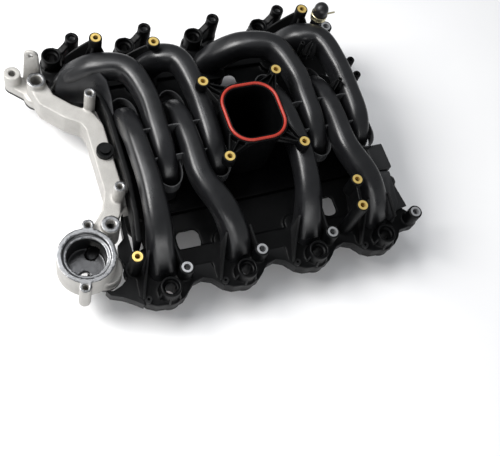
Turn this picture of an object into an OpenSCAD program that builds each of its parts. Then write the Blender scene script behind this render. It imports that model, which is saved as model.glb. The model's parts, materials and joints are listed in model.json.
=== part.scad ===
// Intake manifold for a 90-degree V8: welded nylon shells, an aluminium coolant
// crossover with the thermostat pocket, and the small parts pressed into them.
// +X points to the rear of the engine, +Y to the far bank, +Z up.
// The origin is the middle of the throttle flange face.

/* [Ports] */
// Distance between neighbouring ports along one bank
port_pitch = 100; // [96:1:120]
// Distance across the valley between the two rows of injector bores
bank_spread = 352; // [340:1:430]
// How far forward the far bank sits
bank_stagger = 62; // [50:1:76]
// Shift of the near bank along the crankshaft
bank_shift = -2; // [-6:1:6]
// Depth of the injector mouths below the throttle flange face
injector_drop = 72; // [68:1:90]
// Height of the injector bosses above the head flange
injector_rise = 20; // [15:1:26]
// Outer diameter of an injector boss
injector_boss_d = 27; // [25:1:30]
// Diameter of the open mouth of an injector bore
injector_mouth_d = 20; // [17:1:22]
// Diameter of the injector bore itself
injector_bore_d = 14; // [12:0.5:15]
// Distance from an injector bore back to the middle of its port
port_inset = 36; // [35:1:42]
// How far the far bank's ports sit behind their injectors
far_port_shift = 12; // [8:1:14]

/* [Runners] */
// Outer width of a runner across the valley
runner_w = 28; // [22:1:28]
// Outer height of a runner
runner_h = 36; // [30:1:38]
// Outer width of a runner where it meets its port
port_w = 38; // [30:1:40]
// Wall thickness of the runners
runner_wall = 3; // [2:0.5:4]
// Depth of the runners' top surface below the throttle flange face
crest_drop = 16; // [15:1:24]
// Gap inside a pair of runners
pair_gap = 2; // [2:1:4]
// Gap between two pairs of runners
lane_gap = 7; // [5:1:10]

/* [Throttle flange] */
// Width of the throttle opening along the crankshaft
throat_w = 66; // [54:1:68]
// Length of the throttle opening across the engine
throat_l = 72; // [60:1:84]
// Corner radius of the throttle opening
throat_r = 22; // [16:1:24]
// Wall of the throttle neck
neck_wall = 3; // [2.5:0.5:4]
// Insert spacing along the crankshaft
throttle_bolts_x = 101; // [98:1:122]
// Insert spacing across the engine
throttle_bolts_y = 110; // [108:1:132]
// Outer diameter of an insert boss
insert_boss_d = 17; // [16:0.5:19]
// Outer diameter of a brass insert
insert_d = 13; // [11:0.5:13]
// Length of a brass insert
insert_l = 13; // [10:0.5:13]
// Diameter of the threaded hole, taken at the thread's minor diameter
insert_bore_d = 6.8; // [5:0.1:7]

/* [Plenum] */
// Depth of the plenum below its deck
plenum_h = 58; // [45:1:75]
// Wall of the plenum
plenum_wall = 4; // [3:0.5:5]
// Half length of the plenum across the engine, measured to its far wall
plenum_far = 92; // [88:1:100]
// The same to its near wall
plenum_near = 74; // [72:1:80]
// Width of the weld rim around the plenum
weld_rim = 6; // [4:1:8]

/* [Head flanges] */
// Thickness of the head flanges
flange_t = 18; // [14:1:20]
// Thickness of the web between the flanges and the plenum
web_t = 4; // [3:0.5:6]
// Outer diameter of a steel bolt sleeve
sleeve_d = 14; // [12:0.5:15]
// Diameter of the bolt hole in a sleeve
sleeve_bore_d = 8.6; // [6.6:0.1:9]
// Height of the near bank's bolt bosses above the flange
near_boss_h = 24; // [18:1:32]
// Height of the far bank's bolt towers above the flange
far_boss_h = 36; // [28:1:44]
// Thickness of the plastic lip over the far bank's sleeves
tower_lip = 5; // [3:1:8]
// Thickness of the port gaskets
gasket_t = 3; // [2:0.5:4]

/* [Coolant crossover] */
// Outer diameter of the thermostat pocket
pocket_d = 72; // [68:1:80]
// Diameter of the thermostat seat
seat_d = 58; // [54:0.5:60]
// Depth of the thermostat seat
seat_depth = 5; // [3:0.5:8]
// Diameter of the pocket below the seat
pocket_bore_d = 48; // [40:1:50]
// Depth of the cap bolt's leg below the housing
leg_drop = 8; // [4:1:14]
// Diameter of the pad on the far cylinder head
pad_d = 34; // [30:1:36]
// Distance between the two cap bolts
cap_bolts = 80; // [78:1:96]
// Width of the coolant passage's casting
passage_w = 23; // [20:0.5:24]
// Height of the coolant passage's casting
passage_h = 36; // [30:1:44]
// Wall of the casting
cast_wall = 4; // [3:0.5:5]

/* [Vacuum port] */
// Outer diameter of the nipple
nipple_d = 15; // [12:0.5:16]
// Diameter of the hole in the nipple
nipple_bore_d = 10; // [7:0.5:11]
// Wall of the rubber cap
cap_wall = 2.5; // [2:0.5:3.5]
// Length of the rubber cap
cap_l = 30; // [24:1:34]
// Width of the spring clamp's band
clamp_w = 7; // [5:0.5:9]

/* [Hidden] */

$fn = 64;
eps = 0.01;
bank_y = bank_spread / 2;
port_y = bank_y - port_inset;
near_first = bank_shift - 1.5 * port_pitch;
far_first = near_first - bank_stagger;
mouth_z = -injector_drop;
deck_z = mouth_z - injector_rise;
flange_z = deck_z - flange_t;
tray_z = deck_z - plenum_h;
neck_w = throat_w + 2 * neck_wall;
neck_l = throat_l + 2 * neck_wall;
neck_r = throat_r + neck_wall;

function near_x(i) = near_first + i * port_pitch;
function far_x(i) = far_first + i * port_pitch;
function far_port_x(i) = far_x(i) + far_port_shift;

// Lanes in which the eight runners cross the valley, left and right of the neck
close_lane = runner_w + pair_gap;
open_lane = runner_w + lane_gap;
left_lane = -neck_w / 2 - runner_w / 2 - 3;
right_lane = neck_w / 2 + runner_w / 2 + 5;
far_lanes = [left_lane - close_lane - open_lane, left_lane,
    right_lane + open_lane, right_lane + 2 * open_lane + close_lane];
near_lanes = [left_lane - 2 * close_lane - open_lane, left_lane - close_lane,
    right_lane, right_lane + open_lane + close_lane];

plenum_front = min(near_lanes[0] - runner_w / 2 - 4, near_x(0) - 14);
plenum_rear = max(far_lanes[3] + runner_w / 2 + 4, near_x(3) + 25);
plenum_r = 14;
near_drop_y = 64;
far_drop_y = -38;
crest_z = -crest_drop - runner_h / 2;

near_sleeve = [25, 18];
far_sleeve = [30, 12];
near_ear = [51, 18];
far_ear = [100, -20];
boss_d = 20;

// Coolant crossover, placed from the front wall of the plenum
front_x = plenum_front - weld_rim;
pocket = [front_x - pocket_d / 2 - 32, -115];
housing_top = mouth_z + 6;
passage_top = mouth_z - 2;
passage_x = front_x - 2 - passage_w / 2;
cap_turn = [sin(16), cos(16)];
cap_ear_d = 15;
near_lobe = pocket + [20, -14];
foot_z = passage_top - passage_h;
housing_h = housing_top - foot_z;
far_pad = [front_x - 36.5 - pad_d, 138];
far_lug = far_pad + [-26, 25];
head_boss = [front_x - 30, -82];
stud_z = mouth_z + 30;
near_stud = [passage_x + 3, -46];
far_stud = [passage_x + 1, 91];
passage_route = [pocket + [10, 14], [passage_x - 11, -64], [passage_x, -34], [passage_x, 60],
    [passage_x - 7, 76], [passage_x - 27, 89], [passage_x - 50, 112], far_pad];
tab_h = 78;
screw_d = 6;
screw_z = foot_z - 12;
screw_l = 26;
screw_ys = [-40, 14, 68];

// Posts that carry the accessory inserts: place and height of the top
post_d = insert_boss_d;
high_top = -12;
far_post_1 = [far_x(0) + 51, bank_y - 25];
far_post_3 = [far_x(3) + 42, bank_y - 25];
crest_post = [far_x(1) + 22, bank_y - 44];
near_post = [near_first - 34, 38 - bank_y];
rear_post = [near_x(3) - 47, 26 - bank_y];
rear_post_top = -17;
arm_post = [near_lanes[3] - 12, rear_post[1] + 36];
near_post_top = mouth_z + 26;

rear_lug = [near_x(3) + 42, 76 - bank_y];

nipple_at = [far_port_x(3) + 52.5, bank_y - 37];
nipple_foot_z = mouth_z + 20;
nipple_top_z = nipple_foot_z + 54;
cap_d = nipple_d + 2 * cap_wall + 0.1;
cap_top_z = nipple_top_z + 5;
cap_foot_z = cap_top_z - cap_l;
clamp_z = cap_foot_z + 5;

// ---------- shared outlines ----------

module round_rect(w, l, r) {
    square([w - 2 * r, l], center = true);
    square([w, l - 2 * r], center = true);
    for (x = [-1, 1], y = [-1, 1]) translate([x * (w / 2 - r), y * (l / 2 - r)]) circle(r);
}

module bar(a, b, w) {
    side = [a[1] - b[1], b[0] - a[0]] * (w / 2 / norm(b - a));
    polygon([a + side, a - side, b - side, b + side]);
    translate(a) circle(d = w);
    translate(b) circle(d = w);
}

module route(points, w) {
    for (i = [0 : len(points) - 2]) bar(points[i], points[i + 1], w);
}

module plate(z, t) { translate([0, 0, z]) linear_extrude(t) children(); }

module tube(z, h, d, bore) {
    translate([0, 0, z]) difference() {
        cylinder(h = h, d = d);
        translate([0, 0, -1]) cylinder(h = h + 2, d = bore);
    }
}

// ---------- runners: tubes swept over the valley ----------

ring_n = 20;
stations = 18;

function unit(v) = v / norm(v);
function spline(a, b, c, d, t) = 0.5 * (2 * b + (c - a) * t + (2 * a - 5 * b + 4 * c - d) * t * t
    + (3 * b - a - 3 * c + d) * t * t * t);
function path_at(p, u) = let (n = len(p) - 1, s = u * n, i = min(floor(s), n - 1))
    spline(p[max(i - 1, 0)], p[i], p[i + 1], p[min(i + 2, n)], s - i);
function heading(p, u) = unit(path_at(p, min(u + 0.01, 1)) - path_at(p, max(u - 0.01, 0)));
function squircle(a, w, h) = [w / 2 * sign(cos(a)) * pow(abs(cos(a)), 0.7),
    h / 2 * sign(sin(a)) * pow(abs(sin(a)), 0.7)];

// One ring of a runner, cut level with the deck where the runner starts and ends
function ring(p, u, grow) = let (
    c = path_at(p, u), t = heading(p, u), side = unit(cross(t, [0, 0, 1])), up = cross(side, t),
    blend = pow(max(1 - u / 0.55, 0), 1.4), w = runner_w + (port_w - runner_w) * blend + grow)
    [for (k = [0 : ring_n - 1]) let (q = squircle(k * 360 / ring_n, w, runner_h + grow),
        v = c + side * q[0] + up * q[1])
        (u == 0 || u == 1) ? v - t * ((v[2] - deck_z) / t[2]) : v];

// Middle line of a near-bank runner and of a far-bank runner
function near_path(i) = let (a = near_x(i), b = near_lanes[i]) [
    [a, -port_y, deck_z], [a + (b - a) * 0.1, 14 - port_y, deck_z + 24],
    [a + (b - a) * 0.45, 40 - port_y, crest_z - 9], [b, 82 - port_y, crest_z],
    [b, -14, crest_z], [b, 20, crest_z - 5], [b, 50, crest_z - 24], [b, near_drop_y, deck_z]];
function far_path(i) = let (a = far_port_x(i), b = far_lanes[i]) [
    [a, port_y, deck_z], [a + (b - a) * 0.12, port_y - 6, deck_z + 26],
    [a + (b - a) * 0.42, port_y - 14, crest_z - 7], [a + (b - a) * 0.84, port_y - 30, crest_z],
    [b, 66, crest_z], [b, 20, crest_z], [b, -14, crest_z - 5], [b, -33, crest_z - 26],
    [b, far_drop_y, deck_z]];

function skin(first, a, b, flip) = let (q = first + a * ring_n, r = first + b * ring_n)
    [for (k = [0 : ring_n - 1]) let (m = (k + 1) % ring_n)
        each flip ? [[q + k, r + k, r + m], [q + k, r + m, q + m]]
                  : [[q + k, r + m, r + k], [q + k, q + m, r + m]]];

module runner(path) {
    outer = [for (s = [0 : stations]) each ring(path, s / stations, 0)];
    inner = [for (s = [0 : stations]) each ring(path, s / stations, -2 * runner_wall)];
    n = len(outer);
    last = stations * ring_n;
    polyhedron(points = concat(outer, inner), faces = concat(
        [for (s = [0 : stations - 1]) each skin(0, s, s + 1, false)],
        [for (s = [0 : stations - 1]) each skin(n, s, s + 1, true)],
        [for (k = [0 : ring_n - 1]) let (m = (k + 1) % ring_n)
            each [[k, n + m, m], [k, n + k, n + m]]],
        [for (k = [0 : ring_n - 1]) let (m = (k + 1) % ring_n)
            each [[last + k, last + m, last + n + m], [last + k, last + n + m, last + n + k]]]));
}

module near_runner(i) { color([0.13, 0.13, 0.14]) runner(near_path(i)); }
module far_runner(i) { color([0.13, 0.13, 0.14]) runner(far_path(i)); }

// The bore of a runner where it passes through the deck
module mouth(path, u) {
    polygon([for (v = ring(path, u, -2 * runner_wall)) [v[0], v[1]]]);
}

// ---------- nylon shells ----------

module plenum_outline(grow) {
    translate([(plenum_front + plenum_rear) / 2, (plenum_far - plenum_near) / 2])
        round_rect(plenum_rear - plenum_front + 2 * grow, plenum_far + plenum_near + 2 * grow, plenum_r + grow);
}

module plenum_body() {
    color([0.12, 0.12, 0.13]) difference() {
        plenum_shell();
        for (y = screw_ys) translate([front_x - 6, y, screw_z]) rotate([0, 90, 0]) cylinder(h = screw_l, d = screw_d);
    }
}

module plenum_shell() {
    union() {
        for (y = screw_ys) translate([plenum_front + 1, y, screw_z]) rotate([0, 90, 0]) cylinder(h = 17, d = 12);
        plate(deck_z - plenum_wall, plenum_wall) difference() {
            plenum_outline(0);
            round_rect(throat_w, throat_l, throat_r);
            for (i = [0 : 3]) {
                mouth(near_path(i), 1);
                mouth(far_path(i), 1);
            }
        }
        plate(tray_z + weld_rim, plenum_h - weld_rim - plenum_wall) difference() {
            plenum_outline(0);
            plenum_outline(-plenum_wall);
        }
        plate(tray_z + weld_rim, 4) difference() {
            plenum_outline(weld_rim);
            plenum_outline(-plenum_wall);
        }
    }
}

module plenum_tray() {
    rib_pitch = (plenum_rear - plenum_front) / 8;
    color([0.11, 0.11, 0.12]) {
        plate(tray_z, 3) plenum_outline(0);
        plate(tray_z + 3, weld_rim - 3) difference() {
            plenum_outline(weld_rim);
            plenum_outline(-plenum_wall);
        }
        for (i = [1 : 7]) plate(tray_z + 3, 9)
            translate([plenum_front + i * rib_pitch, (plenum_far - plenum_near) / 2])
                square([2.5, plenum_far + plenum_near - 2 * plenum_wall - 4], center = true);
    }
}

module at_throttle_bolts() {
    for (x = [-1, 1], y = [-1, 1]) translate([x * throttle_bolts_x / 2, y * throttle_bolts_y / 2]) children();
}

module throttle_flange() {
    groove_w = 4;
    boss_h = crest_drop - 1;
    color([0.12, 0.12, 0.13]) {
        difference() {
            union() {
                plate(deck_z, -deck_z) round_rect(neck_w, neck_l, neck_r);
                plate(-8, 8) round_rect(neck_w + 10, neck_l + 10, neck_r + 5);
                for (x = [-1, 1], y = [-1, 1]) {
                    tip = [x * throttle_bolts_x / 2, y * throttle_bolts_y / 2];
                    plate(-boss_h, boss_h) translate(tip) circle(d = insert_boss_d);
                    plate(-boss_h + 3, 3) polygon([tip, [x * (neck_w / 2 - 3), 0], [0, y * (neck_l / 2 - 3)]]);
                    plate(-boss_h + 3, boss_h - 5) {
                        bar([x * (neck_w / 2 - 2), y * 8], tip, 2);
                        bar([x * (neck_w / 2 - 8), y * (neck_l / 2 - 8)], tip, 2);
                        bar([x * 12, y * (neck_l / 2 - 2)], tip, 2);
                    }
                }
            }
            plate(deck_z - 1, 2 - deck_z) round_rect(throat_w, throat_l, throat_r);
            plate(-2.5, 3) difference() {
                round_rect(throat_w + 4 + 2 * groove_w, throat_l + 4 + 2 * groove_w, throat_r + 2 + groove_w);
                round_rect(throat_w + 4, throat_l + 4, throat_r + 2);
            }
            at_throttle_bolts() translate([0, 0, -insert_l]) cylinder(h = insert_l + 1, d = insert_d);
        }
    }
}

module throttle_seal() {
    color([0.85, 0.2, 0.1]) plate(-2.5, 4) difference() {
        round_rect(throat_w + 12, throat_l + 12, throat_r + 6);
        round_rect(throat_w + 4, throat_l + 4, throat_r + 2);
    }
}

// ---------- head flanges ----------

function near_sleeves() = concat(
    [for (i = [0 : 2]) [near_x(i) + near_sleeve[0], near_sleeve[1] - bank_y]],
    [[near_x(3) + near_ear[0], near_ear[1] - bank_y]]);
function far_sleeves() = concat(
    [for (i = [0 : 3]) [far_x(i) + far_sleeve[0], bank_y + far_sleeve[1]]],
    [[far_x(3) + far_ear[0], bank_y + far_ear[1]]]);

module injector_bores(x, y) {
    translate([x, y, mouth_z - 6]) cylinder(h = 7, d = injector_mouth_d);
    translate([x, y, flange_z - 1]) cylinder(h = injector_rise + flange_t, d = injector_bore_d);
}

module near_outline() {
    for (i = [0 : 3]) {
        translate([near_x(i), -port_y]) round_rect(port_w + 12, 56, 12);
        translate([near_x(i), -bank_y]) {
            circle(d = injector_boss_d + 7);
            polygon([[-36, 26], [-38, 3], [-30, -8], [-19, -14], [0, -16], [16, -12], [25, -4], [34, 10], [34, 26]]);
        }
    }
    for (s = near_sleeves()) translate(s) circle(d = boss_d + 2);
    bar([near_x(0) - 33, 40 - bank_y], [near_x(3) + 30, 30 - bank_y], 26);
    polygon([[near_x(3) + 10, 4 - bank_y], [near_x(3) + near_ear[0], near_ear[1] - bank_y - boss_d / 2],
        [near_x(3) + near_ear[0] + 4, near_ear[1] - bank_y + boss_d / 2], [near_x(3) + 20, 70 - bank_y]]);
}

module near_windows() {
    translate([near_x(0) + 45, -bank_y + 63]) round_rect(30, 26, 8);
    translate([near_x(2) + 46, -bank_y + 66]) round_rect(20, 28, 8);
}

module head_flange_near() {
    web_y = -plenum_near - port_y;
    color([0.12, 0.12, 0.13]) difference() {
        union() {
            plate(flange_z, flange_t) near_outline();
            plate(deck_z - web_t - 6, web_t) difference() {
                translate([plenum_front, -port_y]) square([plenum_rear - plenum_front, port_y - plenum_near]);
                near_windows();
            }
            for (i = [0 : 3]) translate([near_x(i), -bank_y, deck_z]) cylinder(h = injector_rise, d = injector_boss_d);
            for (s = near_sleeves()) translate([s[0], s[1], deck_z]) cylinder(h = near_boss_h, d = boss_d - 1);
        }
        for (i = [0 : 3]) {
            injector_bores(near_x(i), -bank_y);
            plate(flange_z - 1, flange_t + 2) mouth(near_path(i), 0);
        }
        for (s = near_sleeves()) translate([s[0], s[1], flange_z - 1]) cylinder(h = 60, d = sleeve_d);
    }
}

module far_outline() {
    for (i = [0 : 3]) {
        translate([far_port_x(i), port_y]) round_rect(port_w + 5, 56, 12);
        translate([far_x(i), bank_y]) circle(d = injector_boss_d + 4);
        translate([far_x(i), bank_y - 12]) square([injector_boss_d + 4, 24], center = true);
        bar([far_x(i), bank_y], [far_x(i) + far_sleeve[0], bank_y + far_sleeve[1]], 15);
    }
    for (s = far_sleeves()) translate(s) circle(d = boss_d);
    bar([far_port_x(0), port_y], [far_x(3) + far_ear[0] - 10, port_y], 26);
}

module head_flange_far() {
    color([0.12, 0.12, 0.13]) difference() {
        union() {
            plate(flange_z, flange_t) far_outline();
            plate(deck_z - web_t - 6, web_t) difference() {
                translate([plenum_front, plenum_far]) square([plenum_rear - plenum_front, port_y - plenum_far]);
                translate([far_port_x(2) + 18, plenum_far + 17]) round_rect(34, 20, 6);
            }
            for (i = [0 : 3]) {
                translate([far_x(i), bank_y, deck_z]) cylinder(h = injector_rise, d = injector_boss_d);
                translate([far_x(i) + far_sleeve[0], bank_y + far_sleeve[1], deck_z])
                    cylinder(h = far_boss_h, d = boss_d - 2);
                translate([far_x(i), bank_y, deck_z]) rotate([0, 0, atan2(far_sleeve[1], far_sleeve[0])])
                    tower_gusset(norm(far_sleeve));
            }
            translate([far_sleeves()[4][0], far_sleeves()[4][1], deck_z]) cylinder(h = near_boss_h, d = boss_d - 1);
        }
        for (i = [0 : 3]) {
            injector_bores(far_x(i), bank_y);
            plate(flange_z - 1, flange_t + 2) mouth(far_path(i), 0);
        }
        for (i = [0 : 3]) translate([far_sleeves()[i][0], far_sleeves()[i][1], flange_z - 1]) {
            cylinder(h = flange_t + far_boss_h - tower_lip + 1, d = sleeve_d);
            cylinder(h = flange_t + far_boss_h + 2, d = sleeve_bore_d);
        }
        translate([far_sleeves()[4][0], far_sleeves()[4][1], flange_z - 1]) cylinder(h = 60, d = sleeve_d);
    }
}

module tower_gusset(reach) {
    t = 10;
    translate([0, t / 2, 0]) rotate([90, 0, 0]) linear_extrude(t)
        polygon([[8, 0], [reach, 0], [reach, far_boss_h - 2], [reach - 5, far_boss_h - 5], [11, injector_rise - 2]]);
}

module bolt_sleeves_near() {
    color([0.72, 0.73, 0.75]) for (s = near_sleeves()) translate(s)
        tube(flange_z, flange_t + near_boss_h, sleeve_d, sleeve_bore_d);
}

module bolt_sleeves_far() {
    color([0.72, 0.73, 0.75]) {
        for (i = [0 : 3]) translate(far_sleeves()[i])
            tube(flange_z, flange_t + far_boss_h - tower_lip, sleeve_d, sleeve_bore_d);
        translate(far_sleeves()[4]) tube(flange_z, flange_t + near_boss_h, sleeve_d, sleeve_bore_d);
    }
}

// ---------- gaskets ----------

seal_grow = 8;

module port_gasket_near() {
    color([0.09, 0.09, 0.1]) plate(flange_z - gasket_t, gasket_t) difference() {
        near_outline();
        for (i = [0 : 3]) port_outline(near_path(i), seal_grow);
        for (s = near_sleeves()) translate(s) circle(d = sleeve_d + 1);
        translate([near_x(3) + 34, -bank_y - 20]) square([40, 100]);
        for (i = [0 : 3]) translate([near_x(i), -bank_y]) circle(d = injector_bore_d + 3);
    }
}

module port_gasket_far() {
    color([0.09, 0.09, 0.1]) plate(flange_z - gasket_t, gasket_t) difference() {
        far_outline();
        for (i = [0 : 3]) port_outline(far_path(i), seal_grow);
        for (s = far_sleeves()) translate(s) circle(d = sleeve_d + 1);
        for (i = [0 : 3]) translate([far_x(i), bank_y]) circle(d = injector_bore_d + 3);
    }
}

// Outline of a port, grown all round by half of grow
module port_outline(path, grow) {
    polygon([for (v = ring(path, 0, grow - 2 * runner_wall)) [v[0], v[1]]]);
}

module port_seal(path) {
    plate(flange_z - gasket_t, gasket_t) difference() {
        port_outline(path, seal_grow);
        port_outline(path, 1);
    }
}

module port_seals_near() {
    color([0.8, 0.35, 0.15]) for (i = [0 : 3]) port_seal(near_path(i));
}

module port_seals_far() {
    color([0.8, 0.35, 0.15]) for (i = [0 : 3]) port_seal(far_path(i));
}

// ---------- outer rail, rear cover and small nylon details ----------

module front_rail() {
    rail_w = 8;
    path = [[front_x - 5, 62 - bank_y], [front_x + 1, 96 - bank_y],
        [front_x + 5.5, -30], [front_x + 5.5, 62], [front_x + 1, plenum_far], [front_x - 7, plenum_far + 13]];
    color([0.12, 0.12, 0.13]) plate(deck_z, 38) route(path, rail_w);
}

module rear_cover() {
    box = [26, 38, 44];
    wall = 3;
    corner = [max(far_lanes[3], near_x(3) + 7), far_drop_y - runner_h / 2 - box[1] - 1];
    color([0.13, 0.13, 0.14]) {
        translate([corner[0], corner[1], deck_z]) difference() {
            cube(box);
            translate([wall, wall, -1]) cube([box[0] - 2 * wall, box[1] - 2 * wall, box[2] - wall + 1]);
        }
        plate(deck_z, 10) difference() {
            bar([corner[0] + 17, corner[1] + 7], rear_lug, 18);
            translate(rear_lug) circle(d = 8);
            translate([corner[0] + wall, corner[1] + wall]) square([box[0] - 2 * wall, box[1] - 2 * wall]);
        }
        plate(deck_z, 4) polygon([corner + [4, 1], rear_lug + [0, 8], rear_lug + [8, -3],
            [near_x(3) + 55, -port_y], [near_x(3) + 24, -6 - port_y], [near_x(3) + 23, 20 - port_y],
            [near_x(3) + 12, 28 - port_y]]);
    }
}

module coolant_plug() {
    color([0.1, 0.1, 0.11]) translate([passage_x + 3, 20, passage_top]) {
        cylinder(h = 7, d = passage_w - 1);
        cylinder(h = 11, d = 14);
    }
}

module insert_posts() {
    color([0.12, 0.12, 0.13]) {
        difference() {
            union() {
                translate([near_post[0], near_post[1], deck_z]) cylinder(h = near_post_top - deck_z, d = post_d);
                for (p = [far_post_1, far_post_3])
                    translate([p[0], p[1], deck_z]) cylinder(h = high_top - deck_z, d = post_d);
                translate([far_post_1[0], far_post_1[1] + 1.5, 0]) rotate([90, 0, 0]) linear_extrude(3)
                    polygon([[-16, deck_z], [0, deck_z], [0, high_top - 4], [-6, high_top - 8], [-16, -58]]);
                translate([crest_post[0], crest_post[1], -crest_drop - 5]) cylinder(h = 10, d = post_d);
                translate([rear_post[0], rear_post[1], deck_z]) cylinder(h = rear_post_top - deck_z, d = post_d);
                translate([arm_post[0], arm_post[1], rear_post_top - 34]) cylinder(h = 34, d = post_d);
                plate(rear_post_top - 44, 40) bar(rear_post, arm_post, 4);
            }
            insert_holes();
        }
    }
}

function accessory_sites() = [[near_post, near_post_top], [far_post_1, high_top], [far_post_3, high_top],
    [rear_post, rear_post_top], [arm_post, rear_post_top]];

module insert_holes() {
    for (a = accessory_sites()) translate([a[0][0], a[0][1], a[1] - insert_l]) cylinder(h = insert_l + 1, d = insert_d);
    translate([crest_post[0], crest_post[1], -crest_drop - 3]) cylinder(h = insert_l, d = insert_d);
}

module insert(top, length) {
    tube(top - length, length, insert_d, insert_bore_d);
}

module throttle_inserts() { color([0.83, 0.68, 0.3]) at_throttle_bolts() insert(0, insert_l); }

module accessory_inserts() {
    color([0.83, 0.68, 0.3]) {
        for (a = accessory_sites()) translate(a[0]) insert(a[1], insert_l);
        translate(crest_post) insert(5 - crest_drop, 8);
    }
}

module clip_lugs() {
    side_x = far_lanes[3] + runner_w / 2;
    color([0.12, 0.12, 0.13]) {
        for (y = [68, 44]) translate([0, 0, crest_z - 8]) difference() {
            linear_extrude(14) union() {
                translate([side_x + 8, y]) circle(d = 11);
                translate([side_x + 0.6, y - 3]) square([6, 6]);
            }
            translate([side_x + 8, y, -1]) cylinder(h = 20, d = 5);
        }
        for (p = [[right_lane + open_lane + close_lane / 2 + 2, 94], [(near_lanes[3] + far_lanes[3]) / 2, 29]])
            translate(p) tube(crest_z - 6, 32, 6.6, 3);
    }
}

// ---------- coolant crossover ----------

module crossover_solid() {
    plate(foot_z, passage_h) route(passage_route, passage_w);
    translate([pocket[0], pocket[1], housing_top - housing_h]) cylinder(h = housing_h, d = pocket_d);
    for (s = [-1, 1]) {
        ear = pocket + s * cap_bolts / 2 * cap_turn;
        ear_h = s < 0 ? housing_h + leg_drop : 18;
        translate([ear[0], ear[1], housing_top - ear_h]) cylinder(h = ear_h, d = cap_ear_d);
        plate(housing_top - min(ear_h, housing_h), min(ear_h, housing_h)) bar(pocket, ear, cap_ear_d - 3);
    }
    plate(foot_z, 22) bar(pocket, near_lobe, 42);
    translate([head_boss[0], head_boss[1], foot_z]) cylinder(h = housing_top - foot_z, d = 24);
    plate(foot_z, 30) bar(head_boss, pocket + [14, 8], 16);
    plate(foot_z, 14) {
        translate(far_pad) circle(d = pad_d);
        bar(far_pad, far_lug, 22);
    }
    translate([far_pad[0], far_pad[1], foot_z]) cylinder(h = housing_top - foot_z, d = 24);
    translate([far_lug[0], far_lug[1], foot_z]) cylinder(h = 30, d = 22);
    translate([far_pad[0], far_pad[1] + 23.5, foot_z]) rotate([90, 0, -20]) difference() {
        linear_extrude(5) union() {
            polygon([[-13, 0], [13, 0], [9, tab_h - 9], [-9, tab_h - 9]]);
            translate([0, tab_h - 9]) circle(d = 18);
        }
        translate([0, tab_h - 9, -1]) cylinder(h = 7, d = 6);
    }
    for (p = [near_stud, far_stud]) translate([p[0], p[1], foot_z]) cylinder(h = stud_z - foot_z, d = 15);
    plate(foot_z, passage_h - 4) bar(passage_route[3], far_stud, 13);
    for (y = screw_ys) {
        translate([front_x - 6, y - 9, screw_z - 9]) cube([12, 18, 30]);
        translate([passage_x - 4, y - 9, foot_z - 4]) cube([front_x - passage_x, 18, 6]);
    }
}

module crossover_hollows() {
    translate([pocket[0], pocket[1], housing_top - seat_depth]) cylinder(h = seat_depth + 1, d = seat_d);
    translate([pocket[0], pocket[1], housing_top - housing_h + 7])
        cylinder(h = housing_h, d = pocket_bore_d);
    translate([pocket[0], pocket[1], housing_top - housing_h - 1]) translate([-4, -12, 0]) cylinder(h = 10, d = 12);
    plate(foot_z + cast_wall, passage_h - 2 * cast_wall) route(passage_route, passage_w - 2 * cast_wall);
    for (s = [-1, 1]) {
        ear = pocket + s * cap_bolts / 2 * cap_turn;
        translate([ear[0], ear[1], housing_top - 16]) cylinder(h = 17, d = insert_bore_d);
    }
    translate([head_boss[0], head_boss[1], housing_top - 70]) cylinder(h = 80, d = 11);
    translate([far_pad[0], far_pad[1], housing_top - 26]) cylinder(h = 30, d = 14);
    translate([far_lug[0], far_lug[1], housing_top - 70]) cylinder(h = 80, d = 9);
    for (p = [near_stud, far_stud]) translate([p[0], p[1], stud_z - 18]) cylinder(h = 19, d = insert_bore_d);
    for (y = screw_ys) translate([front_x - 40, y, screw_z]) rotate([0, 90, 0]) cylinder(h = 60, d = screw_d + 0.6);
}

module coolant_crossover() {
    color([0.8, 0.79, 0.76]) difference() {
        crossover_solid();
        crossover_hollows();
    }
}

module crossover_screws() {
    color([0.7, 0.71, 0.73]) for (y = screw_ys) translate([front_x - 6, y, screw_z]) rotate([0, -90, 0]) {
        cylinder(h = 1.5, d = 14);
        cylinder(h = 6, d = 11, $fn = 6);
        translate([0, 0, -screw_l]) cylinder(h = screw_l, d = screw_d);
    }
}

module coolant_gasket_near() {
    color([0.09, 0.09, 0.1]) plate(foot_z - gasket_t, gasket_t) difference() {
        translate(near_lobe) circle(d = 42);
        translate(near_lobe) circle(d = 20);
    }
}

module coolant_gasket_far() {
    color([0.09, 0.09, 0.1]) plate(foot_z - gasket_t, gasket_t) difference() {
        union() {
            translate(far_pad) circle(d = pad_d);
            bar(far_pad, far_lug, 22);
        }
        translate(far_pad) circle(d = 22);
        translate(far_lug) circle(d = 10);
    }
}

// ---------- vacuum port, its cap and clamp ----------

module vacuum_nipple() {
    color([0.12, 0.12, 0.13]) translate([nipple_at[0], nipple_at[1], 0]) difference() {
        union() {
            translate([0, 0, deck_z]) cylinder(h = nipple_foot_z - deck_z, d = nipple_d + 7);
            translate([0, 0, nipple_foot_z]) cylinder(h = nipple_top_z - nipple_foot_z, d = nipple_d);
        }
        translate([0, 0, nipple_top_z - 70]) cylinder(h = 71, d = nipple_bore_d);
    }
}

module vacuum_cap() {
    r = nipple_d / 2 + 0.05;
    color([0.07, 0.07, 0.08]) translate([nipple_at[0], nipple_at[1], 0]) difference() {
        union() {
            translate([0, 0, cap_foot_z]) cylinder(h = cap_l - cap_d / 2, r = r + cap_wall);
            translate([0, 0, cap_top_z - cap_d / 2]) sphere(r = r + cap_wall);
        }
        translate([0, 0, cap_foot_z - 1]) cylinder(h = nipple_top_z + 0.2 - cap_foot_z + 1, r = r);
    }
}

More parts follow.
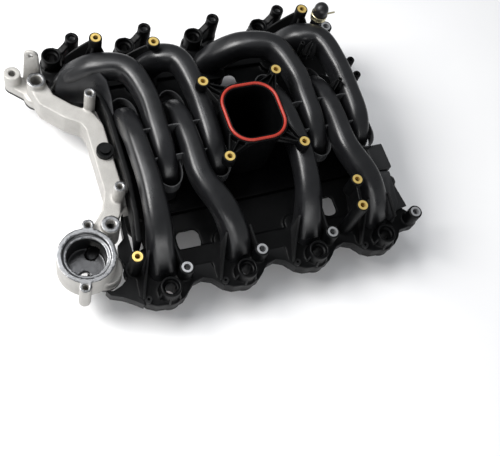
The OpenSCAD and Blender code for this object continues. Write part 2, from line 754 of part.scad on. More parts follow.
module spring_clamp() {
    r = cap_d / 2 + 0.3;
    color([0.75, 0.68, 0.45]) translate([nipple_at[0], nipple_at[1], clamp_z]) {
        tube(0, clamp_w, 2 * r + 2.4, 2 * r);
        for (s = [-1, 1]) translate([r + 0.8, s * 3 - 0.6, 1]) cube([13, 1.2, clamp_w - 2]);
    }
}

plenum_tray();
plenum_body();
throttle_flange();
head_flange_near();
head_flange_far();
near_runner(0);  // runner_near_1
near_runner(1);  // runner_near_2
near_runner(2);  // runner_near_3
near_runner(3);  // runner_near_4
far_runner(0);  // runner_far_1
far_runner(1);  // runner_far_2
far_runner(2);  // runner_far_3
far_runner(3);  // runner_far_4
front_rail();
rear_cover();
throttle_seal();
throttle_inserts();
accessory_inserts();
bolt_sleeves_near();
bolt_sleeves_far();
port_gasket_near();
port_gasket_far();
port_seals_near();
port_seals_far();
coolant_crossover();
crossover_screws();
coolant_gasket_near();
coolant_gasket_far();
coolant_plug();
insert_posts();
clip_lugs();
vacuum_nipple();
vacuum_cap();
spring_clamp();
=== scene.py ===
"""Looks of the intake manifold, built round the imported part. Metres, in the part's own frame."""
import json
import math

import bmesh
import bpy
import numpy as np
from mathutils import Matrix, Vector


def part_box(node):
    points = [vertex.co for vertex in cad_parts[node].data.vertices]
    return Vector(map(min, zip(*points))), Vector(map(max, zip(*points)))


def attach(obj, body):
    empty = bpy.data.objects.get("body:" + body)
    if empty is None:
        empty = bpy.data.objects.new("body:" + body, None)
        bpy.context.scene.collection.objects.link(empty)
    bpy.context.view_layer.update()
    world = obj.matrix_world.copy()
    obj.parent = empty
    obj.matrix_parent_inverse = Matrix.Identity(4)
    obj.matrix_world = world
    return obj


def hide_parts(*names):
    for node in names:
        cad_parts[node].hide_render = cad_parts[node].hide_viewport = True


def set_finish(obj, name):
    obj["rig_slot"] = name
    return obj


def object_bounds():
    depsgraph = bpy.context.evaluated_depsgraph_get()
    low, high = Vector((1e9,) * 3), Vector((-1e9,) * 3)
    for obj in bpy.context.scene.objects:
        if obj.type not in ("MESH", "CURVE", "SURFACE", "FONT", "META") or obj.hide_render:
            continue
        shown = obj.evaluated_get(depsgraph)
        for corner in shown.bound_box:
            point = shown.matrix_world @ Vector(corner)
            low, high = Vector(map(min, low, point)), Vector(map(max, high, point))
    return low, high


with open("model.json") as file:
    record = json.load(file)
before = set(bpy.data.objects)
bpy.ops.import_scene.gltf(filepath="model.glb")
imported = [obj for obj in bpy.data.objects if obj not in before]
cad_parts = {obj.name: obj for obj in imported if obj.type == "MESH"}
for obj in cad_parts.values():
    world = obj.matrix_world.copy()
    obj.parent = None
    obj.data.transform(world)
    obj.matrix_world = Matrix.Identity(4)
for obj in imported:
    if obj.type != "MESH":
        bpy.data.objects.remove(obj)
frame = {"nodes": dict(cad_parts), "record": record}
cad_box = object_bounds()
MM = 0.001

# Sizes of the part, in millimetres, as in its source
PORT_PITCH, BANK_STAGGER, FAR_PORT_SHIFT = 100, 62, 12
NEAR_X = [-152 + PORT_PITCH * i for i in range(4)]
FAR_X = [x - BANK_STAGGER for x in NEAR_X]
FAR_PORT_X = [x + FAR_PORT_SHIFT for x in FAR_X]
NEAR_LANES = [-148, -83, 55, 120]
FAR_LANES = [-118, -53, 90, 155]
BANK_Y, PORT_Y = 176, 140
DECK_Z, FLANGE_Z, CREST_Z = -92, -110, -34
RUNNER_W, RUNNER_H, PORT_W, RUNNER_WALL = 28, 36, 38, 3
POCKET = (-240, -115)
HOUSING_TOP, STUD_TOP, FOOT_Z = -66, -42, -110
POCKET_R = 29.8


# ---------- materials ----------

class Graph:
    """A material's node tree, built a node at a time."""

    def __init__(self, name):
        self.material = bpy.data.materials.new(name)
        self.material.use_nodes = True
        self.tree = self.material.node_tree
        self.shader = next(n for n in self.tree.nodes if n.type == "BSDF_PRINCIPLED")
        self.place = self.add("ShaderNodeTexCoord").outputs["Object"]

    def add(self, kind, **values):
        node = self.tree.nodes.new(kind)
        for key, value in values.items():
            setattr(node, key, value)
        return node

    def link(self, source, target):
        self.tree.links.new(source, target)

    def noise(self, scale, detail=3.0, rough=0.5):
        node = self.add("ShaderNodeTexNoise")
        node.inputs["Scale"].default_value = scale
        node.inputs["Detail"].default_value = detail
        node.inputs["Roughness"].default_value = rough
        self.link(self.place, node.inputs["Vector"])
        return node.outputs[0]

    def ramp(self, value, low, high, start=0.3, end=0.7):
        """A value spread between two colours or two numbers."""
        node = self.add("ShaderNodeValToRGB")
        for element, at, c in zip(node.color_ramp.elements, (start, end), (low, high)):
            element.position = at
            element.color = (*c, 1) if hasattr(c, "__len__") else (c, c, c, 1)
        self.link(value, node.inputs["Fac"])
        return node.outputs["Color"]

    def mix(self, share, a, b, blend="MIX"):
        node = self.add("ShaderNodeMix", data_type="RGBA", blend_type=blend)
        for socket, value in ((node.inputs["Factor"], share), (node.inputs[6], a), (node.inputs[7], b)):
            if isinstance(value, (int, float, tuple)):
                socket.default_value = value
            else:
                self.link(value, socket)
        return node.outputs[2]

    def bump(self, height, depth, strength=1.0, below=None):
        node = self.add("ShaderNodeBump")
        node.inputs["Strength"].default_value = strength
        node.inputs["Distance"].default_value = depth
        self.link(height, node.inputs["Height"])
        if below is not None:
            self.link(below, node.inputs["Normal"])
        return node.outputs["Normal"]

    def wear_and_edge_highlight(self, start, end):
        """Painted highlight, with some wear: light where the surface is convex, such as along an edge."""
        return self.ramp(self.add("ShaderNodeNewGeometry").outputs["Pointiness"], 0.0, 1.0, start, end)

    def finish(self, metallic=0.0, specular=0.5, coat=0.0, coat_rough=0.2):
        self.shader.inputs["Metallic"].default_value = metallic
        self.shader.inputs["Specular IOR Level"].default_value = specular
        self.shader.inputs["Coat Weight"].default_value = coat
        self.shader.inputs["Coat Roughness"].default_value = coat_rough
        return self.material


def shades(c, spread):
    return tuple(x * (1 - spread) for x in c), tuple(min(1, x * (1 + spread)) for x in c)


def nylon(name, colour, rough, grain=1500, depth=0.00006, specular=0.5):
    g = Graph(name)
    low, high = shades(colour, 0.22)
    body = g.ramp(g.noise(34, 5, 0.6), low, high)
    fibres = g.ramp(g.noise(900, 2, 0.7), 0.0, 1.0, 0.62, 0.8)
    body = g.mix(fibres, body, (*[x * 2.1 for x in colour], 1))
    # painted highlight with some wear: convex edges take a paler colour
    edges = g.wear_and_edge_highlight(0.53, 0.64)
    pale = tuple(min(1, x * 2.6 + 0.012) for x in colour)
    g.link(g.mix(edges, body, (*pale, 1)), g.shader.inputs["Base Color"])
    g.link(g.ramp(g.noise(60, 4, 0.6), rough - 0.07, rough + 0.08), g.shader.inputs["Roughness"])
    flow = g.bump(g.noise(48, 3, 0.5), 0.0004, 0.5)
    g.link(g.bump(g.noise(grain, 2, 0.6), depth, 0.8, flow), g.shader.inputs["Normal"])
    return g.finish(specular=specular)


def metal(name, colour, rough, grain, depth, spread=0.08, metallic=1.0, turned=None):
    g = Graph(name)
    low, high = shades(colour, spread)
    body = g.ramp(g.noise(140, 5, 0.6), low, high)
    if turned:      # painted shade: the colour goes nearly black where ambient occlusion finds deep places
        painted_shade_ao = g.add("ShaderNodeAmbientOcclusion")
        painted_shade_ao.inputs["Distance"].default_value = 0.04
        body = g.mix(g.ramp(painted_shade_ao.outputs["AO"], 0.0, 1.0, 0.25, 0.85), (0.03, 0.03, 0.031, 1), body)
    g.link(body, g.shader.inputs["Base Color"])
    g.link(g.ramp(g.noise(260, 3, 0.6), rough - 0.05, rough + 0.07), g.shader.inputs["Roughness"])
    height = g.bump(g.noise(grain, 3, 0.65), depth, 0.9)
    if turned:
        wave = g.add("ShaderNodeTexWave", wave_type="RINGS", rings_direction="Z", wave_profile="SIN")
        shift = g.add("ShaderNodeMapping")
        shift.inputs["Location"].default_value = (-turned[0] * MM, -turned[1] * MM, 0)
        g.link(g.place, shift.inputs["Vector"])
        g.link(shift.outputs["Vector"], wave.inputs["Vector"])
        wave.inputs["Scale"].default_value = 260
        height = g.bump(wave.outputs["Color"], 0.00003, 0.5, height)
    g.link(height, g.shader.inputs["Normal"])
    return g.finish(metallic=metallic)


def cast_aluminium(name, colour):
    g = Graph(name)
    low, high = shades(colour, 0.10)
    body = g.ramp(g.noise(26, 5, 0.65), low, high)
    specks = g.ramp(g.noise(1100, 2, 0.7), 0.0, 1.0, 0.64, 0.74)
    body = g.mix(specks, body, (*[x * 0.72 for x in colour], 1))
    # painted highlight with some wear: convex edges take a paler grey
    g.link(g.mix(g.wear_and_edge_highlight(0.54, 0.66), body, (0.62, 0.62, 0.61, 1)), g.shader.inputs["Base Color"])
    g.link(g.ramp(g.noise(80, 4, 0.6), 0.46, 0.64), g.shader.inputs["Roughness"])
    waves = g.bump(g.noise(90, 4, 0.6), 0.0007, 0.5)
    g.link(g.bump(g.noise(900, 4, 0.7), 0.0004, 1.0, waves), g.shader.inputs["Normal"])
    return g.finish(metallic=0.55)


def rubber(name, colour, rough, bloom=0.25):
    g = Graph(name)
    low, high = shades(colour, bloom)
    g.link(g.ramp(g.noise(180, 4, 0.6), low, high), g.shader.inputs["Base Color"])
    g.link(g.ramp(g.noise(240, 3, 0.6), rough - 0.06, rough + 0.08), g.shader.inputs["Roughness"])
    g.link(g.bump(g.noise(1400, 2, 0.6), 0.00005, 0.6), g.shader.inputs["Normal"])
    return g.finish(specular=0.45)


MATERIALS = {
    "nylon_runners": nylon("nylon_runners", (0.0062, 0.0064, 0.0072), 0.33, 1100, 0.00005, 0.46),
    "nylon_top": nylon("nylon_top", (0.0016, 0.0017, 0.0019), 0.42, 1300, 0.00007, 0.11),
    # painted shade: the shell's nylon is darker and less glossy than the runners', so its deep parts read dark
    "nylon_shell": nylon("nylon_shell", (0.0010, 0.0010, 0.0012), 0.50, 900, 0.00009, 0.07),
    "nylon_grained": nylon("nylon_grained", (0.0080, 0.0083, 0.0090), 0.50, 620, 0.00035, 0.42),
    # a lighter copy of the same nylon: painted highlight for the thin rims
    "nylon_painted_highlight": nylon("nylon_painted_highlight", (0.0150, 0.0154, 0.0162), 0.36, 1100, 0.00005, 0.5),
    "silicone_seal": rubber("silicone_seal", (0.34, 0.026, 0.014), 0.45, 0.12),
    "gasket_black": rubber("gasket_black", (0.006, 0.006, 0.0065), 0.55),
    "cap_rubber": rubber("cap_rubber", (0.006, 0.006, 0.0065), 0.38),
    "brass": metal("brass", (0.82, 0.60, 0.19), 0.34, 900, 0.00003, 0.10, 0.72),
    "sleeve_steel": metal("sleeve_steel", (0.46, 0.465, 0.475), 0.32, 700, 0.00004, 0.10, 0.75),
    "zinc_steel": metal("zinc_steel", (0.50, 0.51, 0.52), 0.33, 700, 0.00004),
    "clamp_steel": metal("clamp_steel", (0.62, 0.56, 0.36), 0.33, 800, 0.00004),
    "cast_aluminium": cast_aluminium("cast_aluminium", (0.40, 0.39, 0.37)),
    "machined_aluminium": metal("machined_aluminium", (0.20, 0.202, 0.206), 0.33, 500, 0.00004, 0.16,
                                turned=POCKET),
}


# ---------- mesh helpers ----------

class Shells:
    """Closed shells gathered into one piece. Points are in millimetres."""

    def __init__(self):
        self.points, self.faces = [], []

    def add(self, points, faces):
        first = len(self.points)
        self.points += [tuple(p) for p in points]
        self.faces += [[i + first for i in f] for f in faces]
        return self

    def rings(self, rings, closed_loop=False):
        """Rings of equal length, skinned in order; capped at both ends, or joined into a loop."""
        n, count = len(rings[0]), len(rings)
        faces = []
        for s in range(count if closed_loop else count - 1):
            a, b = s * n, (s + 1) % count * n
            faces += [[a + k, a + (k + 1) % n, b + (k + 1) % n, b + k] for k in range(n)]
        if not closed_loop:
            faces += [list(range(n))[::-1], [(count - 1) * n + k for k in range(n)]]
        return self.add([p for r in rings for p in r], faces)

    def prism(self, outline, low, high, soft=0.6):
        """An outline raised from low to high, with its edges chamfered."""
        inner = inset(outline, soft)
        levels = [(inner, low), (outline, low + soft), (outline, high - soft), (inner, high)]
        return self.rings([[(x, y, z) for x, y in o] for o, z in levels])

    def lathe(self, centre, profile, n=40):
        """A closed profile of (radius, height) turned about a vertical axis."""
        rings = [[(centre[0] + r * math.cos(a), centre[1] + r * math.sin(a), z)
                  for a in (2 * math.pi * k / n for k in range(n))] for r, z in profile]
        return self.rings(rings, closed_loop=True)


def inset(outline, amount):
    made = []
    for i, p in enumerate(outline):
        p, before, after = Vector(p), Vector(outline[i - 1]), Vector(outline[(i + 1) % len(outline)])
        e1, e2 = (p - before).normalized(), (after - p).normalized()
        n1, n2 = Vector((-e1.y, e1.x)), Vector((-e2.y, e2.x))
        n = (n1 + n2)
        n = n / max(0.4, n.length_squared / 2)
        made.append(tuple(p + n * amount))
    return made


def round_rect(cx, cy, w, l, r, steps=6):
    made = []
    for x, y, start in ((1, 1, 0), (-1, 1, 90), (-1, -1, 180), (1, -1, 270)):
        for k in range(steps + 1):
            a = math.radians(start + 90 * k / steps)
            made.append((cx + x * (w / 2 - r) + r * math.cos(a), cy + y * (l / 2 - r) + r * math.sin(a)))
    return made


def place(name, mesh, finish, body="manifold", slot=None, stands_for=(), sharp=38):
    obj = bpy.data.objects.new(name, mesh)
    bpy.context.scene.collection.objects.link(obj)
    if not mesh.materials:
        mesh.materials.append(MATERIALS[finish])
    mesh.polygons.foreach_set("use_smooth", [True] * len(mesh.polygons))
    if sharp:
        mesh.set_sharp_from_angle(angle=math.radians(sharp))
    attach(obj, body)
    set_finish(obj, slot or finish)
    if stands_for:
        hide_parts(*stands_for)
    return obj


def mesh_of(name, shells):
    mesh = bpy.data.meshes.new(name)
    mesh.from_pydata([Vector(p) * MM for p in shells.points], [], shells.faces)
    mesh.validate()
    bm = bmesh.new()
    bm.from_mesh(mesh)
    bmesh.ops.recalc_face_normals(bm, faces=bm.faces)
    bm.to_mesh(mesh)
    bm.free()
    return mesh


def build(name, shells, finish, **kw):
    return place(name, mesh_of(name, shells), finish, **kw)


def relax(mesh, rounds, held=None):
    """Evens out a dense mesh, which rounds its edges and fills its corners."""
    co = np.zeros(len(mesh.vertices) * 3)
    mesh.vertices.foreach_get("co", co)
    co = co.reshape(-1, 3)
    ends = np.zeros(len(mesh.edges) * 2, int)
    mesh.edges.foreach_get("vertices", ends)
    ends = ends.reshape(-1, 2)
    n = len(co)
    links = np.bincount(ends.ravel(), minlength=n)[:, None]
    free = np.ones((n, 1)) if held is None else 1.0 - held(co / MM)[:, None]
    for _ in range(rounds):
        total = np.zeros_like(co)
        for k in range(3):
            total[:, k] = (np.bincount(ends[:, 0], co[ends[:, 1], k], n)
                           + np.bincount(ends[:, 1], co[ends[:, 0], k], n))
        co += 0.5 * free * (total / np.maximum(links, 1) - co)
    mesh.vertices.foreach_set("co", co.ravel())
    mesh.update()


def soften(node, finish, voxel, rounds, keep=1.0, held=None, body="manifold", slot=None):
    """A stand-in for a CAD node: its solid, rebuilt dense, with rounded edges and filled corners."""
    obj = bpy.data.objects.new(node + "_soft", frame["nodes"][node].data.copy())
    bpy.context.scene.collection.objects.link(obj)
    weld = obj.modifiers.new("weld", "WELD")
    weld.merge_threshold = 0.00001
    grid = obj.modifiers.new("grid", "REMESH")
    grid.mode, grid.voxel_size, grid.adaptivity = "VOXEL", voxel * MM, 0.0
    mesh = bpy.data.meshes.new_from_object(obj.evaluated_get(bpy.context.evaluated_depsgraph_get()))
    relax(mesh, rounds, held)
    obj.modifiers.clear()
    obj.data = mesh
    if keep < 1:
        thin = obj.modifiers.new("thin", "DECIMATE")
        thin.ratio = keep
        mesh = bpy.data.meshes.new_from_object(obj.evaluated_get(bpy.context.evaluated_depsgraph_get()))
    bpy.data.objects.remove(obj)
    mesh.name = node + "_soft"
    mesh.materials.clear()
    return place(node + "_soft", mesh, finish, body=body, slot=slot, stands_for=(node,), sharp=None)


# ---------- runners ----------

def spline(a, b, c, d, t):
    return 0.5 * (2 * b + (c - a) * t + (2 * a - 5 * b + 4 * c - d) * t * t
                  + (3 * b - a - 3 * c + d) * t ** 3)


def path_at(path, u):
    n = len(path) - 1
    s = u * n
    i = min(int(s), n - 1)
    return spline(path[max(i - 1, 0)], path[i], path[i + 1], path[min(i + 2, n)], s - i)


def near_path(i):
    a, b = NEAR_X[i], NEAR_LANES[i]
    return [Vector(p) for p in (
        (a, -PORT_Y, DECK_Z), (a + (b - a) * 0.1, 14 - PORT_Y, DECK_Z + 24),
        (a + (b - a) * 0.45, 40 - PORT_Y, CREST_Z - 9), (b, 82 - PORT_Y, CREST_Z), (b, -14, CREST_Z),
        (b, 20, CREST_Z - 5), (b, 50, CREST_Z - 24), (b, 64, DECK_Z))]


def far_path(i):
    a, b = FAR_PORT_X[i], FAR_LANES[i]
    return [Vector(p) for p in (
        (a, PORT_Y, DECK_Z), (a + (b - a) * 0.12, PORT_Y - 6, DECK_Z + 26),
        (a + (b - a) * 0.42, PORT_Y - 14, CREST_Z - 7), (a + (b - a) * 0.84, PORT_Y - 30, CREST_Z),
        (b, 66, CREST_Z), (b, 20, CREST_Z), (b, -14, CREST_Z - 5), (b, -33, CREST_Z - 26), (b, -38, DECK_Z))]


def section(path, u, grow, n, seam=0.0):
    """One ring of a runner: a flat-topped rounded box, with a weld seam down each side."""
    c = path_at(path, u)
    t = (path_at(path, min(u + 0.01, 1)) - path_at(path, max(u - 0.01, 0))).normalized()
    side = t.cross(Vector((0, 0, 1))).normalized()
    up = side.cross(t)
    w = RUNNER_W + (PORT_W - RUNNER_W) * max(1 - u / 0.55, 0) ** 1.4 + grow
    h = RUNNER_H + grow
    ring = []
    for k in range(n):
        a = 2 * math.pi * k / n
        x = w / 2 * math.copysign(abs(math.cos(a)) ** 0.7, math.cos(a))
        y = h / 2 * math.copysign(abs(math.sin(a)) ** 0.7, math.sin(a))
        if seam and k in (0, n // 2):
            x += math.copysign(seam, x)
        v = c + side * x + up * y
        if u in (0, 1):
            v -= t * ((v.z - DECK_Z) / t.z)
        ring.append(tuple(v))
    return ring


def runner(name, path, stations=56, n=44):
    us = [s / stations for s in range(stations + 1)]
    outer = [section(path, u, 0, n, 0.7 if 0.06 < u < 0.94 else 0) for u in us]
    inner = [section(path, u, -2 * RUNNER_WALL, n) for u in reversed(us)]
    build(name + "_tube", Shells().rings(outer + inner, closed_loop=True), "nylon_runners",
          stands_for=(name,), sharp=None)


for i in range(4):
    runner(f"runner_near_{i + 1}", near_path(i))
    runner(f"runner_far_{i + 1}", far_path(i))


# ---------- moulded and cast parts ----------

for node, finish, voxel, rounds, keep in (
        ("head_flange_near", "nylon_top", 1.2, 4, 0.45),
        ("head_flange_far", "nylon_top", 1.2, 4, 0.45),
        ("plenum_body", "nylon_shell", 1.5, 3, 0.4),
        ("rear_cover", "nylon_grained", 1.0, 26, 0.5),
        ("front_rail", "nylon_top", 1.1, 4, 0.5),
        ("insert_posts", "nylon_top", 0.9, 3, 0.5),
        ("throttle_flange", "nylon_top", 0.8, 3, 0.5),
        ("clip_lugs", "nylon_top", 0.7, 3, 0.6)):
    soften(node, finish, voxel, rounds, keep, slot="nylon_shell" if finish == "nylon_grained" else None)


def from_pocket(p):
    return np.hypot(p[:, 0] - POCKET[0], p[:, 1] - POCKET[1])


def machined(p):
    """Where the casting is cut after casting: its top faces and the thermostat pocket."""
    tops = np.isclose(p[:, 2], HOUSING_TOP, atol=0.7) | np.isclose(p[:, 2], STUD_TOP, atol=0.7)
    return (tops | ((from_pocket(p) < POCKET_R) & (p[:, 2] > FOOT_Z + 4))).astype(float)


casting = soften("coolant_crossover", "cast_aluminium", 1.0, 7, 0.6, held=machined)
casting.data.materials.append(MATERIALS["machined_aluminium"])
centres = np.zeros(len(casting.data.polygons) * 3)
normals = np.zeros(len(casting.data.polygons) * 3)
casting.data.polygons.foreach_get("center", centres)
casting.data.polygons.foreach_get("normal", normals)
centres, normals = centres.reshape(-1, 3) / MM, normals.reshape(-1, 3)
cut = (machined(centres) > 0) & ((normals[:, 2] > 0.8) | (from_pocket(centres) < POCKET_R))
casting.data.polygons.foreach_set("material_index", cut.astype(np.int32))

seal_low, seal_high = (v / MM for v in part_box("throttle_seal"))
middle = round_rect(0, 0, seal_high.x - seal_low.x - 4, seal_high.y - seal_low.y - 4, 26, 10)
wide = inset(middle, -1)
bead = []
for p, q in zip(middle, wide):      # a rounded bead, swept round the opening
    out = (Vector(q) - Vector(p)).normalized()
    bead.append([(p[0] + out.x * 1.95 * math.cos(a), p[1] + out.y * 1.95 * math.cos(a),
                  -0.5 + 2.3 * math.sin(a)) for a in (2 * math.pi * k / 14 for k in range(14))])
build("seal_bead", Shells().rings(bead, closed_loop=True), "silicone_seal",
      stands_for=("throttle_seal",), sharp=None)

clamp_low, clamp_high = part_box("spring_clamp")
cap_low, cap_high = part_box("vacuum_cap")
cx, cy = (cap_low.x + cap_high.x) / 2 / MM, (clamp_low.y + clamp_high.y) / 2 / MM
r0, z0, z1 = (clamp_high.y - clamp_low.y) / 2 / MM - 1.2, clamp_low.z / MM, clamp_high.z / MM
band = Shells().lathe((cx, cy), [(r0, z0 + 1), (r0 + 0.5, z0), (r0 + 1.1, z0 + 0.4), (r0 + 0.7, z0 + 1.4),
                                 (r0 + 0.7, z1 - 1.4), (r0 + 1.1, z1 - 0.4), (r0 + 0.5, z1),
                                 (r0, z1 - 1)], 48)
end = clamp_high.x / MM
band.rings([[(x, cy - 0.9, z0 + 2.6 + lift), (x, cy + 0.9, z0 + 2.6 + lift),
             (x, cy + 0.9, z0 + 4.4 + lift), (x, cy - 0.9, z0 + 4.4 + lift)]
            for x, lift in ((cx + r0 + 0.2, 0), (cx + r0 + 5, 0.3), (cx + r0 + 10, 0.8), (end - 0.1, 1.2))])
build("clamp_band", band, "clamp_steel", body="spring_clamp", stands_for=("spring_clamp",))

for node, obj in frame["nodes"].items():
    if obj.hide_render:
        continue
    slot = next(s["material_slot"] for s in frame["record"]["subparts"] if s["node"] == node)
    obj.data.materials.clear()
    obj.data.materials.append(MATERIALS[slot])
    obj["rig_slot"] = slot


# ---------- ribs, rims and fins moulded on the shells ----------

def strip(path, thick, low, high):
    """An upright strip along a path, as a closed shell. Heights may be one number or one for each point."""
    lows = low if isinstance(low, (list, tuple)) else [low] * len(path)
    highs = high if isinstance(high, (list, tuple)) else [high] * len(path)
    rings = []
    for i, p in enumerate(path):
        before, after = Vector(path[max(i - 1, 0)]), Vector(path[min(i + 1, len(path) - 1)])
        t = (after - before).normalized()
        side = Vector((-t.y, t.x)) * thick / 2
        p = Vector(p)
        top = side * 0.6
        rings.append([(*(p + side), lows[i]), (*(p + side), highs[i] - 0.5), (*(p + top), highs[i]),
                      (*(p - top), highs[i]), (*(p - side), highs[i] - 0.5), (*(p - side), lows[i])])
    return rings


rims = Shells()
for lane in NEAR_LANES:      # rim round the foot of each near runner, on the far side of the plenum
    arc = [(lane + 17 * math.cos(a), 60 + 25 * math.sin(a)) for a in (math.pi * k / 16 for k in range(17))]
    rims.rings(strip([(lane + 17, 40)] + arc + [(lane - 17, 40)], 1.8, -70, -57))
for lane in FAR_LANES:       # and round the foot of each far runner, on the near side
    arc = [(lane + 17 * math.cos(a), -36 - 24 * math.sin(a)) for a in (math.pi * k / 16 for k in range(17))]
    rims.rings(strip([(lane + 17, -18)] + arc + [(lane - 17, -18)], 1.8, -60, -43))
for x in (-133, -100.5, -68, 72.5, 105, 137.5):     # thin ties between neighbouring runners
    rims.rings(strip([(x - 9, 12), (x - 3, 13.5), (x + 3, 13.5), (x + 9, 12)], 1.8, -74,
                     [-20, -21, -21, -20]))
    rims.rings(strip([(x - 8, -24), (x + 8, -24)], 1.6, -78, -30))
# the rims take the lighter nylon copy, a painted highlight along their edges
build("shell_rims", rims, "nylon_painted_highlight", slot="nylon_top")

fins = Shells()
for a, b, thick, top in (
        ((-163, 151), (-198, 168), 3.2, (-15, -68)), ((-163, 151), (-150, 140), 3, (-16, -44)),
        ((-163, 151), (-176, 133), 3, (-18, -40)), ((-92, 132), (-126, 152), 3, (-16, -66)),
        ((128, 151), (94, 166), 3.2, (-15, -68)), ((128, 151), (142, 146), 3, (-16, -40)),
        ((128, 151), (118, 132), 3, (-18, -36))):
    n = 7
    line = [(a[0] + (b[0] - a[0]) * k / n, a[1] + (b[1] - a[1]) * k / n) for k in range(n + 1)]
    tops = [top[0] + (top[1] - top[0]) * (k / n) ** 1.25 for k in range(n + 1)]
    fins.rings(strip(line, thick, DECK_Z, tops))
for x in NEAR_X:
    n = 6
    line = [(x - 18 - 15 * k / n, -132 - 46 * k / n) for k in range(n + 1)]
    fins.rings(strip(line, 2.6, DECK_Z, [-50 - 36 * (k / n) ** 0.8 for k in range(n + 1)]))
    fins.rings(strip([(x + 15, -128), (x + 20, -146), (x + 23, -156)], 2.4, DECK_Z, [-52, -66, -72]))
    fins.lathe((x - 28, -180), [(1.9, -92), (4.6, -92), (4.6, -88.6), (4.2, -88), (1.9, -88)], 20)
    for k in range(3):
        a = math.radians(200 + 55 * k)
        fins.rings(strip([(x + 12.5 * math.cos(a), -BANK_Y + 12.5 * math.sin(a)),
                          (x + 16.5 * math.cos(a), -BANK_Y + 16.5 * math.sin(a))], 2, DECK_Z, [-76, -88]))
for x in FAR_X:
    for k in range(3):
        a = math.radians(120 + 50 * k)
        fins.rings(strip([(x + 12.5 * math.cos(a), BANK_Y + 12.5 * math.sin(a)),
                          (x + 15.3 * math.cos(a), BANK_Y + 15.3 * math.sin(a))], 2, DECK_Z, [-76, -88]))
for x, y, high in ((124, 94, -10), (137.5, 29, -10)):     # slim screw bosses on the crests get four ribs
    for k in range(4):
        a = math.radians(45 + 90 * k)
        ends = [(x + r * math.cos(a), y + r * math.sin(a)) for r in (3, 8)]
        fins.rings(strip(ends, 1.4, -44, [high, -26]))
build("shell_fins", fins, "nylon_top")

skirts = Shells()
for x in NEAR_X[:3]:        # the flange's edge dips between one injector boss and the next
    skirts.prism([(x + 62, -150), (x + 30, -150), (x + 25, -179), (x + 34, -171), (x + 46, -168),
                  (x + 58, -173), (x + 70, -186)], FLANGE_Z, DECK_Z - 1)
# and the flange runs forward under the thermostat housing
skirts.prism([(-180, -60), (-183, -64), (-186, -78), (-187, -93), (-197, -101), (-200, -116), (-195, -130),
              (-197, -146), (-206, -153), (-217, -157), (-226, -155), (-222, -162), (-208, -168), (-196, -176),
              (-186, -184), (-180, -170), (-182, -140)], FLANGE_Z, DECK_Z - 1)
build("flange_skirts", skirts, "nylon_top")


def hood(name, low_edge, high_edge, bulge, thick=3.0, n=9):
    """A curved shell wall between two edges, as a closed slab."""
    rings = []
    for a, b in zip(low_edge, high_edge):
        a, b = Vector(a), Vector(b)
        outer = []
        for k in range(n):
            t = k / (n - 1)
            p = a.lerp(b, t) + Vector(bulge) * math.sin(math.pi * t)
            outer.append(p)
        inward = Vector((bulge[0], bulge[1], bulge[2] + 0.001)).normalized() * thick
        inner = [p - inward for p in reversed(outer)]
        rings.append([tuple(p) for p in outer + inner])
    return build(name, Shells().rings(rings), "nylon_runners", slot="nylon_shell", sharp=50)


hood("front_hood",
     [(-222, 121, -91), (-208, 113, -91), (-194, 108, -90), (-182, 103, -88), (-173, 92, -86),
      (-169, 76, -84), (-167, 58, -82)],
     [(-212, 140, -60), (-199, 134, -44), (-185, 126, -31), (-171, 115, -27), (-161, 101, -36),
      (-159, 84, -46), (-161, 62, -54)],
     (-3.0, -4.0, 3.0))
wedge = [(153, -97, -47), (179, -97, -56), (184, -136, -76), (172, -158, -85), (164, -146, -66),
         (158, -118, -50)]
crown = [(x * 0.9 + 165 * 0.1, y * 0.9 - 125 * 0.1, z + 0.6) for x, y, z in wedge]
build("rear_wedge", Shells().rings([[(x, y, DECK_Z) for x, y, z in wedge], wedge, crown]),
      "nylon_grained", slot="nylon_shell", sharp=50)


# ---------- camera, light, floor ----------

def area(name, at, aim, size, power, colour=(1, 1, 1)):
    data = bpy.data.lights.new(name, "AREA")
    data.shape, data.size, data.size_y = "RECTANGLE", size[0], size[1]
    data.energy, data.color = power, colour
    obj = bpy.data.objects.new(name, data)
    bpy.context.scene.collection.objects.link(obj)
    obj.location = at
    obj.rotation_euler = (Vector(aim) - Vector(at)).to_track_quat("-Z", "Y").to_euler()
    return obj


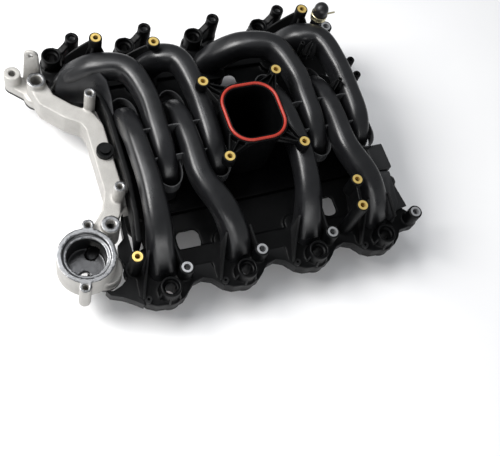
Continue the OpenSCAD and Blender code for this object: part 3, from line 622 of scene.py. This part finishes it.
scene = bpy.context.scene
yaw, tilt, roll = (math.radians(a) for a in (-44.32, 62.87, 27.92))
back = Vector((math.sin(yaw) * math.cos(tilt), -math.cos(yaw) * math.cos(tilt), math.sin(tilt)))
level = Vector((math.cos(yaw), math.sin(yaw), 0))
over = back.cross(level)
right = math.cos(roll) * level + math.sin(roll) * over
above = math.cos(roll) * over - math.sin(roll) * level
camera = bpy.data.objects.new("camera", bpy.data.cameras.new("camera"))
camera.data.sensor_width, camera.data.lens = 36, 56.154
camera.data.clip_start, camera.data.clip_end = 0.02, 60
camera.matrix_world = Matrix((
    (right.x, above.x, back.x, -0.34959), (right.y, above.y, back.y, -0.45082),
    (right.z, above.z, back.z, 0.81482), (0, 0, 0, 1)))
scene.collection.objects.link(camera)
scene.camera = camera

world = bpy.data.worlds.new("studio")
world.use_nodes = True
background = world.node_tree.nodes["Background"]
background.inputs["Color"].default_value = (0.93, 0.96, 1.0, 1)
background.inputs["Strength"].default_value = 0.34
scene.world = world
area("key", (-1.15, 0.45, 1.05), (0, 0, -0.1), (1.0, 0.8), 40, (1.0, 0.99, 0.98))
area("overhead", (-0.35, 0.55, 1.6), (0, 0, -0.1), (0.8, 0.6), 9, (0.97, 0.98, 1.0))
area("low_fill", (-0.3, -1.4, 0.25), (0, -0.1, -0.12), (1.4, 0.4), 8, (1.0, 1.0, 1.0))

floor_z = cad_box[0].z
slab = Shells().prism(round_rect(0, 0, 9000, 9000, 200), floor_z / MM - 20, floor_z / MM, 1)
floor = bpy.data.objects.new("floor", mesh_of("floor", slab))
scene.collection.objects.link(floor)
paper = Graph("pale_floor")
mottle = paper.ramp(paper.noise(3, 4, 0.5), (0.86, 0.86, 0.865), (0.90, 0.90, 0.90))
paper.link(mottle, paper.shader.inputs["Base Color"])
paper.shader.inputs["Roughness"].default_value = 0.6
floor.data.materials.append(paper.finish(specular=0.3))
floor.data.polygons.foreach_set("use_smooth", [True] * len(floor.data.polygons))
floor.data.set_sharp_from_angle(angle=math.radians(38))

scene.view_settings.view_transform = "Standard"
scene.view_settings.look = "None"
